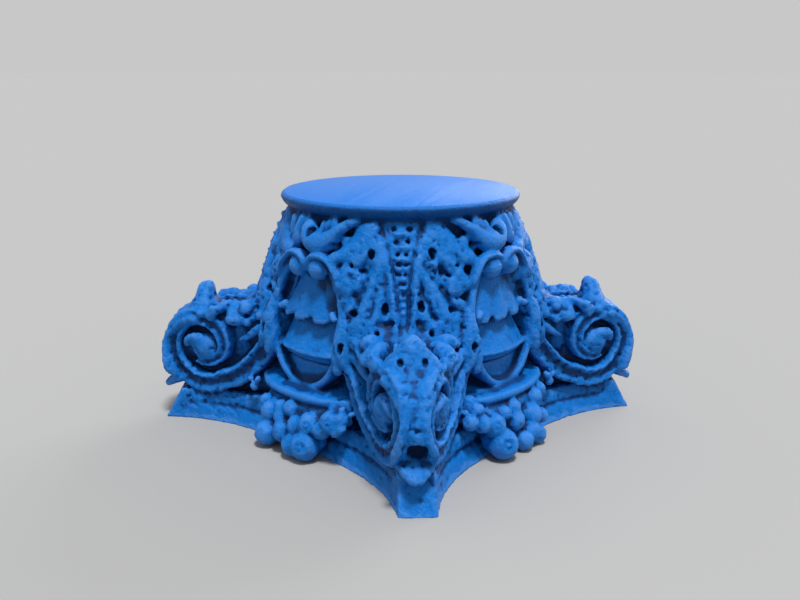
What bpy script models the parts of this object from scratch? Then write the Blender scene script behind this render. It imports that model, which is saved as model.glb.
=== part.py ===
# Column capital with concave abacus, corner leaves, paired volutes, oval frames and fruit.
# It stands inverted: the abacus underside is on the floor and the neck bed faces up.
# Metres, +Z towards the neck; the origin is the centre of the abacus underside.

import math

import bmesh
import bpy
from mathutils import Matrix, Vector

# Block and neck
HEIGHT = 0.304
NECK_RADIUS = 0.1495
ASTRAGAL_HEIGHT = 0.0175
ASTRAGAL_SWELL = 0.0065
BELL_RADIUS = 0.1425
FOOT_RADIUS = 0.1780
LIP_RADIUS = 0.1950
LIP_ROUND = 0.0100
LIP_SWEEP = 27.0

# Abacus
ABACUS_WIDTH = 0.480
ABACUS_HEIGHT = 0.039
CORNER_CUT = 0.030
SIDE_HOLLOW = 0.051
ABACUS_SLOPE = 0.0155

# Corner leaves
LEAF_REACH = 0.2520
LEAF_WIDTH = 0.1560
LEAF_THICKNESS = 0.0300
LEAF_LOBE = 0.0070
TIP_REACH = 0.2660
TIP_HEIGHT = 0.0380
TIP_WIDTH = 0.0500

# Volutes
EYE_REACH = 0.2680
EYE_SPREAD = 0.0640
EYE_RADIUS = 0.0185
VOLUTE_RADIUS = 0.0560
STRAP_WIDTH = 0.0270
STRAP_DEPTH = 0.0270
VOLUTE_SPLAY = 22.5
TONGUE_LENGTH = 0.0400
TONGUE_WIDTH = 0.0270
TONGUE_HEIGHT = 0.0210

# Oval frames with their flowers
FRAME_WIDTH = 0.1260
FRAME_HEIGHT = 0.1500
FRAME_STRAP = 0.0095
FRAME_TOP_REACH = 0.1560
FRAME_FOOT_REACH = 0.1880
SCROLL_RADIUS = 0.0130
FLOWER_WIDTH = 0.0940
FLOWER_HEIGHT = 0.0990
FLOWER_SWELL = 0.0200

# Small ornament
CRESCENT_SPAN = 0.1180
CRESCENT_ROUND = 0.0155
BERRY_RADIUS = 0.0165
BUNCH_SHIFT = 0.0150
DROP_RADIUS = 0.0095

# The bell's carving is set slightly askew on the block
CARVING_TURN = -0.7

# Share of the carving's facets kept
FACET_SHARE = 0.485

BELL_TOP = HEIGHT - ASTRAGAL_HEIGHT
EYE_HEIGHT = ABACUS_HEIGHT + 0.247 * (BELL_TOP - ABACUS_HEIGHT)
LIP_HEIGHT = ABACUS_HEIGHT + 0.150 * (BELL_TOP - ABACUS_HEIGHT)
FRAME_MIDDLE = ABACUS_HEIGHT + 0.508 * (BELL_TOP - ABACUS_HEIGHT)


def rise(share):
    """Height at a share of the way from the abacus up to the astragal."""
    return ABACUS_HEIGHT + share * (BELL_TOP - ABACUS_HEIGHT)


def bell_radius(z):
    """Radius of the plain bell, which flares from the neck down to its foot."""
    drop = (BELL_TOP - z) / (BELL_TOP - LIP_HEIGHT)
    return BELL_RADIUS + (FOOT_RADIUS - BELL_RADIUS) * max(0.0, min(1.0, drop)) ** 4


def bell_front(across, z):
    """Outward distance of the bell's surface at a sideways offset from a face's middle."""
    radius = bell_radius(z)
    return math.sqrt(max(radius * radius - across * across, 0.0))


def blend(keys, share):
    """Smooth curve through keys of equal spacing, read at a share from 0 to 1."""
    place = min(max(share, 0.0), 1.0) * (len(keys) - 1)
    i = min(int(place), len(keys) - 2)
    t = place - i
    before = keys[max(i - 1, 0)]
    a = keys[i]
    b = keys[i + 1]
    after = keys[min(i + 2, len(keys) - 1)]
    return 0.5 * (2 * a + (b - before) * t
                  + (2 * before - 5 * a + 4 * b - after) * t * t
                  + (3 * a - before - 3 * b + after) * t ** 3)


def loft(bm, rings):
    """Closed body through rings that have the same number of points."""
    loops = [[bm.verts.new(point) for point in ring] for ring in rings]
    count = len(loops[0])
    for first, second in zip(loops, loops[1:]):
        for i in range(count):
            j = (i + 1) % count
            bm.faces.new((first[i], first[j], second[j], second[i]))
    bm.faces.new(list(reversed(loops[0])))
    bm.faces.new(loops[-1])


def ball(bm, centre, radii, turn=0.0, around=8, rows=5):
    """Rounded lump with its own half sizes and a turn about Z in degrees."""
    place = Matrix.Translation(Vector(centre)) @ Matrix.Rotation(math.radians(turn), 4, "Z")
    size = Matrix.Diagonal((radii[0], radii[1], radii[2], 1.0))
    bmesh.ops.create_uvsphere(bm, u_segments=around, v_segments=rows, radius=1.0, matrix=place @ size)


def new_object(name, bm, collection):
    """Object from a finished bmesh whose faces are turned outward."""
    bmesh.ops.triangulate(bm, faces=bm.faces)
    bmesh.ops.recalc_face_normals(bm, faces=bm.faces)
    mesh = bpy.data.meshes.new(name)
    bm.to_mesh(mesh)
    bm.free()
    obj = bpy.data.objects.new(name, mesh)
    collection.objects.link(obj)
    return obj


def body(name, collection, maker, *args):
    """One closed body built by a maker function."""
    bm = bmesh.new()
    maker(bm, *args)
    return new_object(name, bm, collection)


def abacus(bm):
    """Square slab with hollow sides and cut corners, narrowing a little as it goes up."""
    steps = 8
    half = ABACUS_WIDTH / 2
    corner = half - CORNER_CUT
    levels = ((0.0, 0.0), (0.48, 0.60), (0.55, 0.90), (0.64, 0.72), (1.0, 1.0))
    rings = []
    for level, slope in levels:
        inset = ABACUS_SLOPE * slope
        ring = []
        for side in range(4):
            turn = Matrix.Rotation(side * math.pi / 2, 4, "Z")
            for step in range(steps + 1):
                share = -1 + 2 * step / steps
                along = corner * math.copysign(abs(share) ** 0.75, share)
                hollow = SIDE_HOLLOW * (1 - abs(along / corner) ** 3.2)
                reach = half - hollow - inset
                ring.append(turn @ Vector((reach, along * (1 - inset / half), ABACUS_HEIGHT * level)))
        rings.append(ring)
    loft(bm, rings)


def bell(collection):
    """Turned bell with the astragal at the neck."""
    foot = ABACUS_HEIGHT * 0.5
    points = [(0.0, HEIGHT), (NECK_RADIUS, HEIGHT)]
    for step in range(1, 5):
        angle = math.pi / 2 - math.pi * step / 5
        points.append((NECK_RADIUS + ASTRAGAL_SWELL * math.cos(angle),
                       HEIGHT - ASTRAGAL_HEIGHT * (0.5 - 0.5 * math.sin(angle))))
    points.append((BELL_RADIUS + 0.25 * (NECK_RADIUS - BELL_RADIUS), BELL_TOP))
    for share in (0.05, 0.45, 0.70, 0.88, 1.0):
        z = BELL_TOP + (LIP_HEIGHT - BELL_TOP) * share
        points.append((bell_radius(z), z))
    points.append((FOOT_RADIUS, foot))
    points.append((0.0, foot))
    mesh = bpy.data.meshes.new("bell")
    mesh.from_pydata([(r, 0.0, z) for r, z in points], [(i, i + 1) for i in range(len(points) - 1)], [])
    obj = bpy.data.objects.new("bell", mesh)
    collection.objects.link(obj)
    screw = obj.modifiers.new("turn", "SCREW")
    screw.axis = "Z"
    screw.steps = 40
    screw.render_steps = 40
    screw.use_merge_vertices = True
    screw.merge_threshold = 0.00001
    return obj


def lip(bm):
    """Round lip that flares from the bell between two volutes."""
    stations = 9
    rings = []
    for k in range(stations):
        share = -1 + 2 * k / (stations - 1)
        turn = Matrix.Rotation(math.radians(LIP_SWEEP * share), 4, "Z")
        draw = 1 - 0.05 * share ** 4
        flare = LIP_RADIUS - BELL_RADIUS
        high = LIP_HEIGHT + LIP_ROUND
        ring = [Vector((BELL_RADIUS * 0.95, 0, high + flare * 0.70)),
                Vector((BELL_RADIUS + flare * 0.42, 0, high + flare * 0.42)),
                Vector((LIP_RADIUS * draw, 0, high))]
        for step in (1, 2, 3):
            angle = math.pi / 2 - math.pi * step / 3.4
            ring.append(Vector((LIP_RADIUS * draw + LIP_ROUND * math.cos(angle), 0,
                                LIP_HEIGHT + LIP_ROUND * math.sin(angle))))
        ring.append(Vector((BELL_RADIUS * 0.95, 0, LIP_HEIGHT - LIP_ROUND)))
        rings.append([turn @ point for point in ring])
    loft(bm, rings)


def corner_leaf(bm):
    """Leaf that leaves the neck, swells down the bell and rides out over the volutes."""
    outward = (0.00, 0.10, 0.19, 0.27, 0.35, 0.45, 0.56, 0.74, 0.90, 1.00)
    upward = (0.995, 0.925, 0.845, 0.765, 0.680, 0.585, 0.505, 0.470, 0.475, 0.470)
    width = (0.84, 0.96, 1.00, 0.98, 0.92, 0.86, 0.78, 0.72, 0.56, 0.36)
    depth = (0.60, 0.90, 1.30, 1.80, 2.10, 2.00, 1.40, 0.90, 0.80, 0.70)
    lobes = 4
    stations = 4 * lobes + 1
    start = BELL_RADIUS * 1.03
    rings = []

    def spot(v):
        return Vector((start + (LEAF_REACH - start) * blend(outward, v), 0.0, rise(blend(upward, v))))

    for k in range(stations):
        v = k / (stations - 1)
        path = (spot(v + 0.01) - spot(v - 0.01)).normalized()
        front = Vector((-path.z, 0.0, path.x))
        half = LEAF_WIDTH / 2 * blend(width, v)
        wave = -math.cos(2 * math.pi * lobes * v)
        thick = LEAF_THICKNESS * blend(depth, v)
        ring = []
        for x in (-1.0, -0.7, -0.3, 0.0, 0.3, 0.7, 1.0):
            edge = abs(x) ** 1.8
            fall = 0.26 * half * edge - LEAF_LOBE * 0.5 * wave * edge
            ring.append(spot(v) + Vector((0, x * (half + LEAF_LOBE * wave * edge), 0)) - front * fall)
        for x in (0.85, 0.0, -0.85):
            ring.append(spot(v) + Vector((0, x * half, 0)) - front * (thick + 0.26 * half * abs(x)))
        rings.append(ring)
    loft(bm, rings)


def leaf_tip(bm):
    """Tip of the leaf, curled up above the volutes like a blunt finger."""
    foot = rise(0.400)
    rings = []
    for share, lean, wide, deep in ((0.0, 0.00, 0.55, 0.55), (0.18, 0.10, 0.90, 0.95), (0.42, 0.06, 1.00, 1.00),
                                    (0.66, -0.04, 0.62, 0.78), (0.90, -0.10, 0.34, 0.62), (1.0, -0.10, 0.16, 0.34)):
        z = foot + (TIP_HEIGHT + rise(0.08) - rise(0.0)) * share * 0.78
        ring = []
        for i in range(8):
            angle = 2 * math.pi * i / 8
            ring.append(Vector((TIP_REACH + TIP_WIDTH * (lean + 0.24 * deep * math.cos(angle)),
                                TIP_WIDTH / 2 * wide * math.sin(angle), z)))
        rings.append(ring)
    loft(bm, rings)


def ear(bm, side):
    """Small lobe at one side of the leaf's tip."""
    size = TIP_WIDTH * 0.22
    middle = (TIP_REACH - size * 1.1, side * TIP_WIDTH * 0.72, rise(0.458))
    ball(bm, middle, (size, size, size * 0.9), around=6, rows=4)


def volute_frame(side):
    """Centre and directions of the volute at one side of a corner."""
    splay = math.radians(VOLUTE_SPLAY)
    centre = Vector((EYE_REACH, side * EYE_SPREAD / 2, EYE_HEIGHT))
    outward = Vector((math.cos(splay), -side * math.sin(splay), 0.0))
    facing = Vector((math.sin(splay), side * math.cos(splay), 0.0))
    return centre, outward, facing


def strap(bm, side):
    """Volute band: a straight run from the bell, then a spiral of one and a half turns."""
    centre, outward, facing = volute_frame(side)
    up = Vector((0, 0, 1))
    first = -130.0
    last = 385.0
    stations = 22
    rings = []

    def ring(outer, inner, lean):
        rim = facing * STRAP_DEPTH * 0.045
        return [outer + lean - facing * STRAP_DEPTH, outer, inner + rim, inner - facing * STRAP_DEPTH]

    def radius(angle):
        return VOLUTE_RADIUS * (1 - angle * 0.00150)

    heel = centre + radius(first) * (outward * math.cos(math.radians(first)) + up * math.sin(math.radians(first)))
    run = outward * -0.82 + up * 0.57
    for length in (2.6, 1.3):
        outer = heel + run * length * STRAP_WIDTH
        inner = outer + (outward * 0.62 + up * 0.78) * STRAP_WIDTH * (1 + 0.08 * length)
        rings.append(ring(outer, inner, Vector()))
    for k in range(stations):
        share = k / (stations - 1)
        angle = first + (last - first) * share ** 0.9
        turn = math.radians(angle)
        ray = outward * math.cos(turn) + up * math.sin(turn)
        taper = 1.0 - 0.62 * max(0.0, (angle - 60) / (last - 60))
        outer = centre + ray * radius(angle)
        inner = centre + ray * (radius(angle) - STRAP_WIDTH * taper)
        rings.append(ring(outer, inner, ray * (-0.2 * STRAP_DEPTH if angle < 130 else 0.0)))
    loft(bm, rings)


def volute_eye(bm, side):
    """Domed eye in the middle of a volute."""
    centre, outward, facing = volute_frame(side)
    turn = math.degrees(math.atan2(outward.y, outward.x))
    ball(bm, centre - facing * EYE_RADIUS * 0.55, (EYE_RADIUS, EYE_RADIUS * 1.15, EYE_RADIUS), turn=turn)


def corner_web(bm):
    """Solid stone between the two volutes of a corner."""
    keys = ((0.50, 0.90, -0.02, 0.50), (0.72, 0.62, -0.02, 0.47), (0.92, 0.40, -0.02, 0.44),
            (1.06, 0.26, -0.02, 0.42), (1.13, 0.13, 0.06, 0.40))
    rings = []
    for reach, width, low, high in keys:
        s = EYE_REACH * reach
        w = EYE_SPREAD * width * 0.95
        rings.append([Vector((s, -w, rise(low))), Vector((s, w, rise(low))),
                      Vector((s, w, rise(high))), Vector((s, -w, rise(high)))])
    loft(bm, rings)


def tongue(bm):
    """Leaf tongue lying on the abacus corner under the volutes."""
    reach = EYE_REACH + VOLUTE_RADIUS * 0.545
    middle = ABACUS_HEIGHT + TONGUE_HEIGHT * 0.45
    ball(bm, (reach, 0, middle), (TONGUE_LENGTH / 2, TONGUE_WIDTH / 2, TONGUE_HEIGHT / 2))


def frame_out(z):
    """Outward reach of the leaning oval frame at a height."""
    share = (FRAME_MIDDLE + FRAME_HEIGHT / 2 - z) / FRAME_HEIGHT
    return FRAME_TOP_REACH + (FRAME_FOOT_REACH - FRAME_TOP_REACH) * share


def oval_frame(bm):
    """Strap bent to an oval, open at the top where its ends curl inward."""
    gap = 22.0
    stations = 19
    rings = []
    for k in range(stations):
        angle = math.radians(gap + (360 - 2 * gap) * k / (stations - 1))
        hug = math.sin(angle)
        across = FRAME_WIDTH / 2 * hug
        z = FRAME_MIDDLE + FRAME_HEIGHT / 2 * math.cos(angle)
        normal = Vector((0, math.sin(angle) / FRAME_WIDTH, math.cos(angle) / FRAME_HEIGHT)).normalized()
        front = frame_out(z)
        back = min(bell_front(across, z), front) - FRAME_STRAP * 0.65
        half = normal * FRAME_STRAP / 2
        spot = Vector((front, across, z))
        deep = Vector((back, across, z))
        rings.append([deep - half, spot - half, spot + half, deep + half])
    loft(bm, rings)


def frame_scroll(bm, side):
    """Ball on which one end of the oval frame curls."""
    z = FRAME_MIDDLE + FRAME_HEIGHT * 0.405
    ball(bm, (frame_out(z) - SCROLL_RADIUS * 0.4, side * SCROLL_RADIUS * 1.25, z),
         (SCROLL_RADIUS * 1.3, SCROLL_RADIUS, SCROLL_RADIUS))


def flower(bm):
    """Two-tier hanging flower in low relief inside the frame."""
    top = FRAME_MIDDLE + FLOWER_HEIGHT * 0.5
    levels = ((0.00, 0.50, 0.35), (0.08, 0.58, 0.75), (0.50, 0.82, 1.10),
              (0.56, 0.76, 0.80), (0.93, 1.02, 1.55), (1.00, 0.86, 1.10))
    points = 7
    rings = []
    for drop, width, swell in levels:
        z = top - FLOWER_HEIGHT * drop
        ring = []
        for k in range(points):
            angle = math.pi * k / (points - 1)
            across = -math.cos(angle) * FLOWER_WIDTH / 2 * width
            lift = FLOWER_SWELL * swell * math.sin(angle) ** 0.7
            lobe = 0.05 * FLOWER_HEIGHT * (-1) ** k if drop == 0.50 else 0.0
            ring.append(Vector((BELL_RADIUS * 0.985 + lift + 0.5 * (bell_radius(z) - BELL_RADIUS), across, z + lobe)))
        for edge in (0.9, -0.9):
            ring.append(Vector((BELL_RADIUS * 0.82, edge * FLOWER_WIDTH / 2 * width, z)))
        rings.append(ring)
    loft(bm, rings)


def crescent(bm):
    """Curled leaf under the astragal, thick at its middle, with an arm rising to each side."""
    stations = 9
    climb = rise(0.105) - rise(0.0)
    rings = []
    for k in range(stations):
        t = -1 + 2 * k / (stations - 1)
        across = CRESCENT_SPAN / 2 * t
        z = rise(0.885) + climb * t * t
        size = CRESCENT_ROUND * (1 - 0.62 * abs(t) ** 0.8)
        middle = Vector((bell_front(across, z) + size * 0.75, across, z))
        slope = math.atan2(2 * climb * t, CRESCENT_SPAN / 2)
        side = Vector((0, -math.sin(slope), math.cos(slope)))
        outward = Vector((1, 0.4 * t, 0)).normalized()
        ring = []
        for i in range(6):
            angle = 2 * math.pi * i / 6
            ring.append(middle + side * size * math.sin(angle) + outward * size * 1.1 * math.cos(angle))
        rings.append(ring)
    loft(bm, rings)


def bunch(hand):
    """Places and sizes of the berries of one side, in rows that narrow towards the floor."""
    rows = ((4, 0.86, 1.02), (3, 0.52, 1.20), (2, 0.25, 1.34))
    berries = []
    for row, (count, share, size) in enumerate(rows):
        for k in range(count):
            wobble = math.sin(2.3 * k + 1.7 * row)
            radius = BERRY_RADIUS * size * (0.92 + 0.10 * wobble)
            across = (k - (count - 1) / 2) * BERRY_RADIUS * 2.05 + BUNCH_SHIFT * (0.5 + 0.5 * row)
            z = max(radius * 1.02, LIP_HEIGHT * share + 0.12 * wobble * BERRY_RADIUS)
            out = LIP_RADIUS * (0.935 + 0.045 * row) - abs(across) * 0.10
            berries.append((Vector((out, hand * across, z)), radius))
    return berries


def berry(bm, centre, radius):
    """One round fruit."""
    ball(bm, centre, (radius, radius, radius))


def drop(bm, side, row):
    """Hanging drop beside the lower part of the frame."""
    z = rise(0.345 - 0.075 * row)
    across = side * (FRAME_WIDTH / 2 + DROP_RADIUS * (0.75 - 0.5 * row))
    ball(bm, (bell_front(across, z) + DROP_RADIUS * 1.8, across, z), (DROP_RADIUS * 2.4, DROP_RADIUS, DROP_RADIUS * 1.5),
         around=6, rows=4)


def triangulate(mesh):
    """Splits every face of a mesh into triangles."""
    bm = bmesh.new()
    bm.from_mesh(mesh)
    bmesh.ops.triangulate(bm, faces=bm.faces)
    bm.to_mesh(mesh)
    bm.free()


def joined(name, first, others, collection):
    """Mesh of one body with others united to it; the loose bodies are then removed."""
    group = bpy.data.collections.new(name + "_pieces")
    collection.children.link(group)
    for other in others:
        collection.objects.unlink(other)
        group.objects.link(other)
    union = first.modifiers.new("union", "BOOLEAN")
    union.operation = "UNION"
    union.operand_type = "COLLECTION"
    union.collection = group
    union.solver = "EXACT"
    bpy.context.view_layer.update()
    result = first.evaluated_get(bpy.context.evaluated_depsgraph_get())
    mesh = bpy.data.meshes.new_from_object(result)
    mesh.name = name
    triangulate(mesh)
    for piece in [first] + list(others):
        bpy.data.objects.remove(piece, do_unlink=True)
    bpy.data.collections.remove(group)
    return mesh


def corner_mesh(collection):
    """All the carving of one corner, drawn towards +X, as one closed mesh."""
    pieces = [body("web", collection, corner_web),
              body("tongue", collection, tongue),
              body("leaf", collection, corner_leaf),
              body("tip", collection, leaf_tip)]
    for side in (1, -1):
        pieces.append(body("ear", collection, ear, side))
        pieces.append(body("strap", collection, strap, side))
        pieces.append(body("eye", collection, volute_eye, side))
    return joined("corner_carving", pieces[0], pieces[1:], collection)


def face_mesh(collection, hand):
    """All the carving of one face, drawn towards +X, as one closed mesh; hand mirrors the fruit."""
    pieces = [body("frame", collection, oval_frame),
              body("lip", collection, lip),
              body("flower", collection, flower),
              body("crescent", collection, crescent)]
    for side in (1, -1):
        pieces.append(body("scroll", collection, frame_scroll, side))
        pieces.append(body("drop", collection, drop, side, 0))
        pieces.append(body("drop", collection, drop, side, 1))
    for centre, radius in bunch(hand):
        pieces.append(body("berry", collection, berry, centre, radius))
    return joined("face_carving", pieces[0], pieces[1:], collection)


def simplify(capital):
    """Fewer facets on the carving, while the two bearing faces stay exactly flat."""
    carved = capital.vertex_groups.new(name="carved")
    inside = [v.index for v in capital.data.vertices if 0.0002 < v.co.z < HEIGHT - 0.0002]
    carved.add(inside, 1.0, "REPLACE")
    thin = capital.modifiers.new("thin", "DECIMATE")
    thin.decimate_type = "COLLAPSE"
    thin.ratio = FACET_SHARE
    thin.vertex_group = "carved"


def stone():
    """Blue painted finish over the carved block."""
    material = bpy.data.materials.new("painted_stone")
    material.use_nodes = True
    shader = material.node_tree.nodes["Principled BSDF"]
    shader.inputs["Base Color"].default_value = (0.010, 0.130, 0.470, 1.0)
    shader.inputs["Roughness"].default_value = 0.5
    shader.inputs["Metallic"].default_value = 0.0
    return material


def main():
    for obj in list(bpy.data.objects):
        bpy.data.objects.remove(obj, do_unlink=True)
    scene = bpy.context.scene
    part = bpy.data.collections.new("column_capital")
    guides = bpy.data.collections.new("carving_guides")
    scene.collection.children.link(part)
    scene.collection.children.link(guides)

    core = bell(guides)
    slab = body("slab", guides, abacus)
    corner = corner_mesh(guides)
    faces = [face_mesh(guides, hand) for hand in (-1, 1)]

    carvings = [slab]
    for quarter in range(4):
        for name, mesh, start in (("corner", corner, 45.0), ("face", faces[quarter % 2], 0.0)):
            carving = bpy.data.objects.new(name + "_carving_" + str(quarter), mesh)
            carving.rotation_euler.z = math.radians(start + CARVING_TURN + 90.0 * quarter)
            guides.objects.link(carving)
            carvings.append(carving)

    capital = bpy.data.objects.new("column_capital", joined("column_capital", core, carvings, guides))
    part.objects.link(capital)
    capital.data.materials.clear()
    capital.data.materials.append(stone())
    capital.data.polygons.foreach_set("material_index", [0] * len(capital.data.polygons))
    capital.data.shade_smooth()
    capital.data.set_sharp_from_angle(angle=math.radians(40))
    simplify(capital)


main()
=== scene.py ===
import math

import bmesh
import bpy
import numpy as np
from mathutils import Matrix, Vector


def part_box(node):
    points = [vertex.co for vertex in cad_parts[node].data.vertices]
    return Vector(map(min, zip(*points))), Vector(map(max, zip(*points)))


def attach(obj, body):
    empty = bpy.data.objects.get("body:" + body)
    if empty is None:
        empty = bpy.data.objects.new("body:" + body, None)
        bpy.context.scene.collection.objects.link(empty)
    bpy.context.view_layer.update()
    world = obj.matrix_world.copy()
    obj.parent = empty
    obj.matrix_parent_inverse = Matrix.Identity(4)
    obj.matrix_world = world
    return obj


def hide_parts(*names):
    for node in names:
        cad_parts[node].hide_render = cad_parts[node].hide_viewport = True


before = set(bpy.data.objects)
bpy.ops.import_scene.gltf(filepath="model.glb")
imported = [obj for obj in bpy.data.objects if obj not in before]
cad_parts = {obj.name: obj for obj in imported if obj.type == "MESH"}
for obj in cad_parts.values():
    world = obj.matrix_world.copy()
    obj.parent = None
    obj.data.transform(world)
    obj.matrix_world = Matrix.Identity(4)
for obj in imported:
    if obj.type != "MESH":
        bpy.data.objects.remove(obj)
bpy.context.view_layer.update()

# Sizes are in millimetres here and become metres when the carving is finished
MM = 0.001
NODE = "column_capital"
LOWEST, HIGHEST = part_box(NODE)
HEIGHT = (HIGHEST.z - LOWEST.z) / MM
WIDTH = (HIGHEST.x - LOWEST.x) / MM

# Block and neck
NECK_RADIUS = 149.5
ASTRAGAL_HEIGHT = 17.5
NECK_TOP = HEIGHT - ASTRAGAL_HEIGHT
BELL_RADIUS = 142.5
FOOT_RADIUS = 161.0
LIP_RADIUS = 194.0
LIP_ROUND = 5.4
LIP_HEIGHT = 72.0
LIP_SWEEP = 27.0

# Abacus
ABACUS_HEIGHT = 39.0
CORNER_CUT = 30.0
SIDE_HOLLOW = 51.0
ABACUS_SLOPE = 15.5

# Volutes
EYE_REACH = 268.4
EYE_SPREAD = 63.3
EYE_HEIGHT = 100.4
VOLUTE_SPLAY = 22.5
STRAP_DEPTH = 27.0

# Oval frames and flowers
FRAME_WIDTH = 120.0
FRAME_LOW = 79.0
FRAME_TOP = 239.0
FRAME_STRAP = 8.0
FLOWER_TOP = 214.0

# The bell's carving is set slightly askew on the block
CARVING_TURN = -0.7

# Fineness of the carved mesh
VOXEL = 1.5
DRILL_FINENESS = 0.8
MOST_TRIANGLES = 196000

# Wear of the surface: tool marks, depth of pits, slow sway and the streaks of the abacus's lower band
TOOL_MARKS = 0.70
PIT_DEPTH = 4.2
SWAY = 0.4
STREAKS = 0.75
# The least that the worn surface stays inside the outline
SIDE_MARGIN = 0.4

# Patterns of the paint, in cells per metre: grain about 4 mm across, dusty patches about 26 mm
GRAIN = 260.0
PATCHES = 38.0


def blend(keys, share):
    """Smooth curve through keys of equal spacing, read at a share from 0 to 1."""
    place = min(max(share, 0.0), 1.0) * (len(keys) - 1)
    i = min(int(place), len(keys) - 2)
    t = place - i
    before = keys[max(i - 1, 0)]
    a = keys[i]
    b = keys[i + 1]
    after = keys[min(i + 2, len(keys) - 1)]
    return 0.5 * (2 * a + (b - before) * t
                  + (2 * before - 5 * a + 4 * b - after) * t * t
                  + (3 * a - before - 3 * b + after) * t ** 3)


def on_outline(outline, share):
    """Both values of a closed outline of straight runs, read at a share from 0 to 1."""
    spot = share * len(outline)
    i = min(int(spot), len(outline) - 1)
    t = spot - i
    return [a + (b - a) * t for a, b in zip(outline[i], outline[(i + 1) % len(outline)])]


def merged(bm, piece):
    """Adds one finished body to a larger mesh."""
    mesh = bpy.data.meshes.new("piece")
    piece.to_mesh(mesh)
    piece.free()
    bm.from_mesh(mesh)
    bpy.data.meshes.remove(mesh)


def bent(bm, across, along, place):
    """Grid bent into a closed skin: place gives the point for two shares from 0 to 1."""
    skin = bmesh.new()
    bmesh.ops.create_grid(skin, x_segments=across, y_segments=along, size=1.0)
    for vert in skin.verts:
        vert.co = place(0.5 + 0.5 * vert.co.x, 0.5 + 0.5 * vert.co.y)
    bmesh.ops.remove_doubles(skin, verts=skin.verts, dist=0.0005)
    bmesh.ops.holes_fill(skin, edges=[e for e in skin.edges if e.is_boundary], sides=0)
    merged(bm, skin)


def knob(bm, centre, radii, turn=None, fine=12):
    """Rounded lump with its own half sizes."""
    if not hasattr(radii, "__len__"):
        radii = (radii, radii, radii)
    place = Matrix.Translation(Vector(centre))
    if turn is not None:
        place = place @ turn.to_4x4()
    size = Matrix.Diagonal((radii[0], radii[1], radii[2], 1.0))
    lump = bmesh.new()
    bmesh.ops.create_uvsphere(lump, u_segments=fine + 4, v_segments=fine, radius=1.0, matrix=place @ size)
    merged(bm, lump)


def strand(bm, path, widths, depths, out, around=12, along=24):
    """Round-ended strand through smooth keys, its half depth measured along the outward direction."""
    path = [Vector(p) for p in path]
    out = Vector(out)

    def place(u, v):
        here = blend(path, v)
        ahead = (blend(path, min(v + 0.02, 1.0)) - blend(path, max(v - 0.02, 0.0))).normalized()
        side = ahead.cross(out).normalized()
        front = side.cross(ahead)
        edge = min(v, 1.0 - v) * 7.0
        close = math.sqrt(max(0.0, 1.0 - (1.0 - min(edge, 1.0)) ** 2))
        turn = 2.0 * math.pi * u
        return (here + side * (blend(widths, v) * close * math.cos(turn))
                + front * (blend(depths, v) * close * math.sin(turn)))

    bent(bm, around, along, place)


def bell_radius(z):
    """Radius of the plain bell, which flares from the neck down to its foot."""
    drop = (NECK_TOP - z) / (NECK_TOP - LIP_HEIGHT)
    return BELL_RADIUS + (FOOT_RADIUS - BELL_RADIUS) * max(0.0, min(1.0, drop)) ** 4


def bell_front(across, z):
    """Outward distance of the bell's surface at a sideways offset from a face's middle."""
    return math.sqrt(max(bell_radius(z) ** 2 - across * across, 1.0))


# Core of the block

def bell(bm):
    """Turned bell with an astragal that slopes back under its edge, spun from one profile."""
    profile = [(0, HEIGHT + 6), (NECK_RADIUS, HEIGHT + 6)]
    astragal = ((0, 0), (4.8, 1.8), (6.3, 3.8), (6.3, 5.4), (5.2, 8.2), (3.2, 11.6), (0.4, 14.6), (-4, 16.2))
    for reach, drop in astragal:
        profile.append((NECK_RADIUS + reach, HEIGHT - drop))
    for step in range(1, 24):
        z = NECK_TOP + (LIP_HEIGHT - NECK_TOP) * step / 23
        profile.append((bell_radius(z), z))
    profile += [(FOOT_RADIUS, 12), (0, 12)]
    core = bmesh.new()
    verts = [core.verts.new((r, 0, z)) for r, z in profile]
    edges = [core.edges.new(pair) for pair in zip(verts, verts[1:])]
    bmesh.ops.spin(core, geom=verts + edges, cent=(0, 0, 0), axis=(0, 0, 1), angle=2 * math.pi,
                   steps=160, use_merge=True)
    bmesh.ops.remove_doubles(core, verts=core.verts, dist=0.01)
    merged(bm, core)


def abacus(bm):
    """Square slab with hollow sides and cut corners, a rough lower band and a smooth hollow above it."""
    half = WIDTH / 2
    corner = half - CORNER_CUT
    levels = ((-6.0, 0.0), (0.0, 0.0), (0.30, 0.34), (0.48, 0.60), (0.53, 0.86), (0.58, 0.88), (0.64, 0.70),
              (0.80, 0.80), (0.94, 1.0), (1.0, 1.12))

    def place(u, v):
        level = v * (len(levels) - 1)
        i = min(int(level), len(levels) - 2)
        t = level - i
        height = levels[i][0] + (levels[i + 1][0] - levels[i][0]) * t
        slope = levels[i][1] + (levels[i + 1][1] - levels[i][1]) * t
        if i == 0:
            height = -6.0 * (1 - t) / ABACUS_HEIGHT
        side = min(int(u * 4), 3)
        share = (u * 4 - side) * 2.16 - 1.0
        # the ridge along the sides dies out towards the cut corners, which have one plain slope
        plain = min(1.0, max(0.0, (abs(share) - 0.82) / 0.14))
        inset = ABACUS_SLOPE * (slope * (1 - plain) + 1.05 * max(0.0, height) * plain)
        along = corner * min(share, 1.0)
        hollow = SIDE_HOLLOW * (1 - abs(min(share, 1.0)) ** 3.2)
        point = Vector((half - hollow - inset, along * (1 - inset / half), ABACUS_HEIGHT * height))
        if share > 1.0:
            cut = (share - 1.0) / 0.16
            start = Vector((half - inset, corner * (1 - inset / half), 0))
            end = Vector((corner * (1 - inset / half), half - inset, 0))
            point = start.lerp(end, cut) + Vector((0, 0, point.z))
        return Matrix.Rotation(side * math.pi / 2, 3, "Z") @ point

    bent(bm, 4 * 40, 36, place)


# Corner: the leaf

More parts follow.
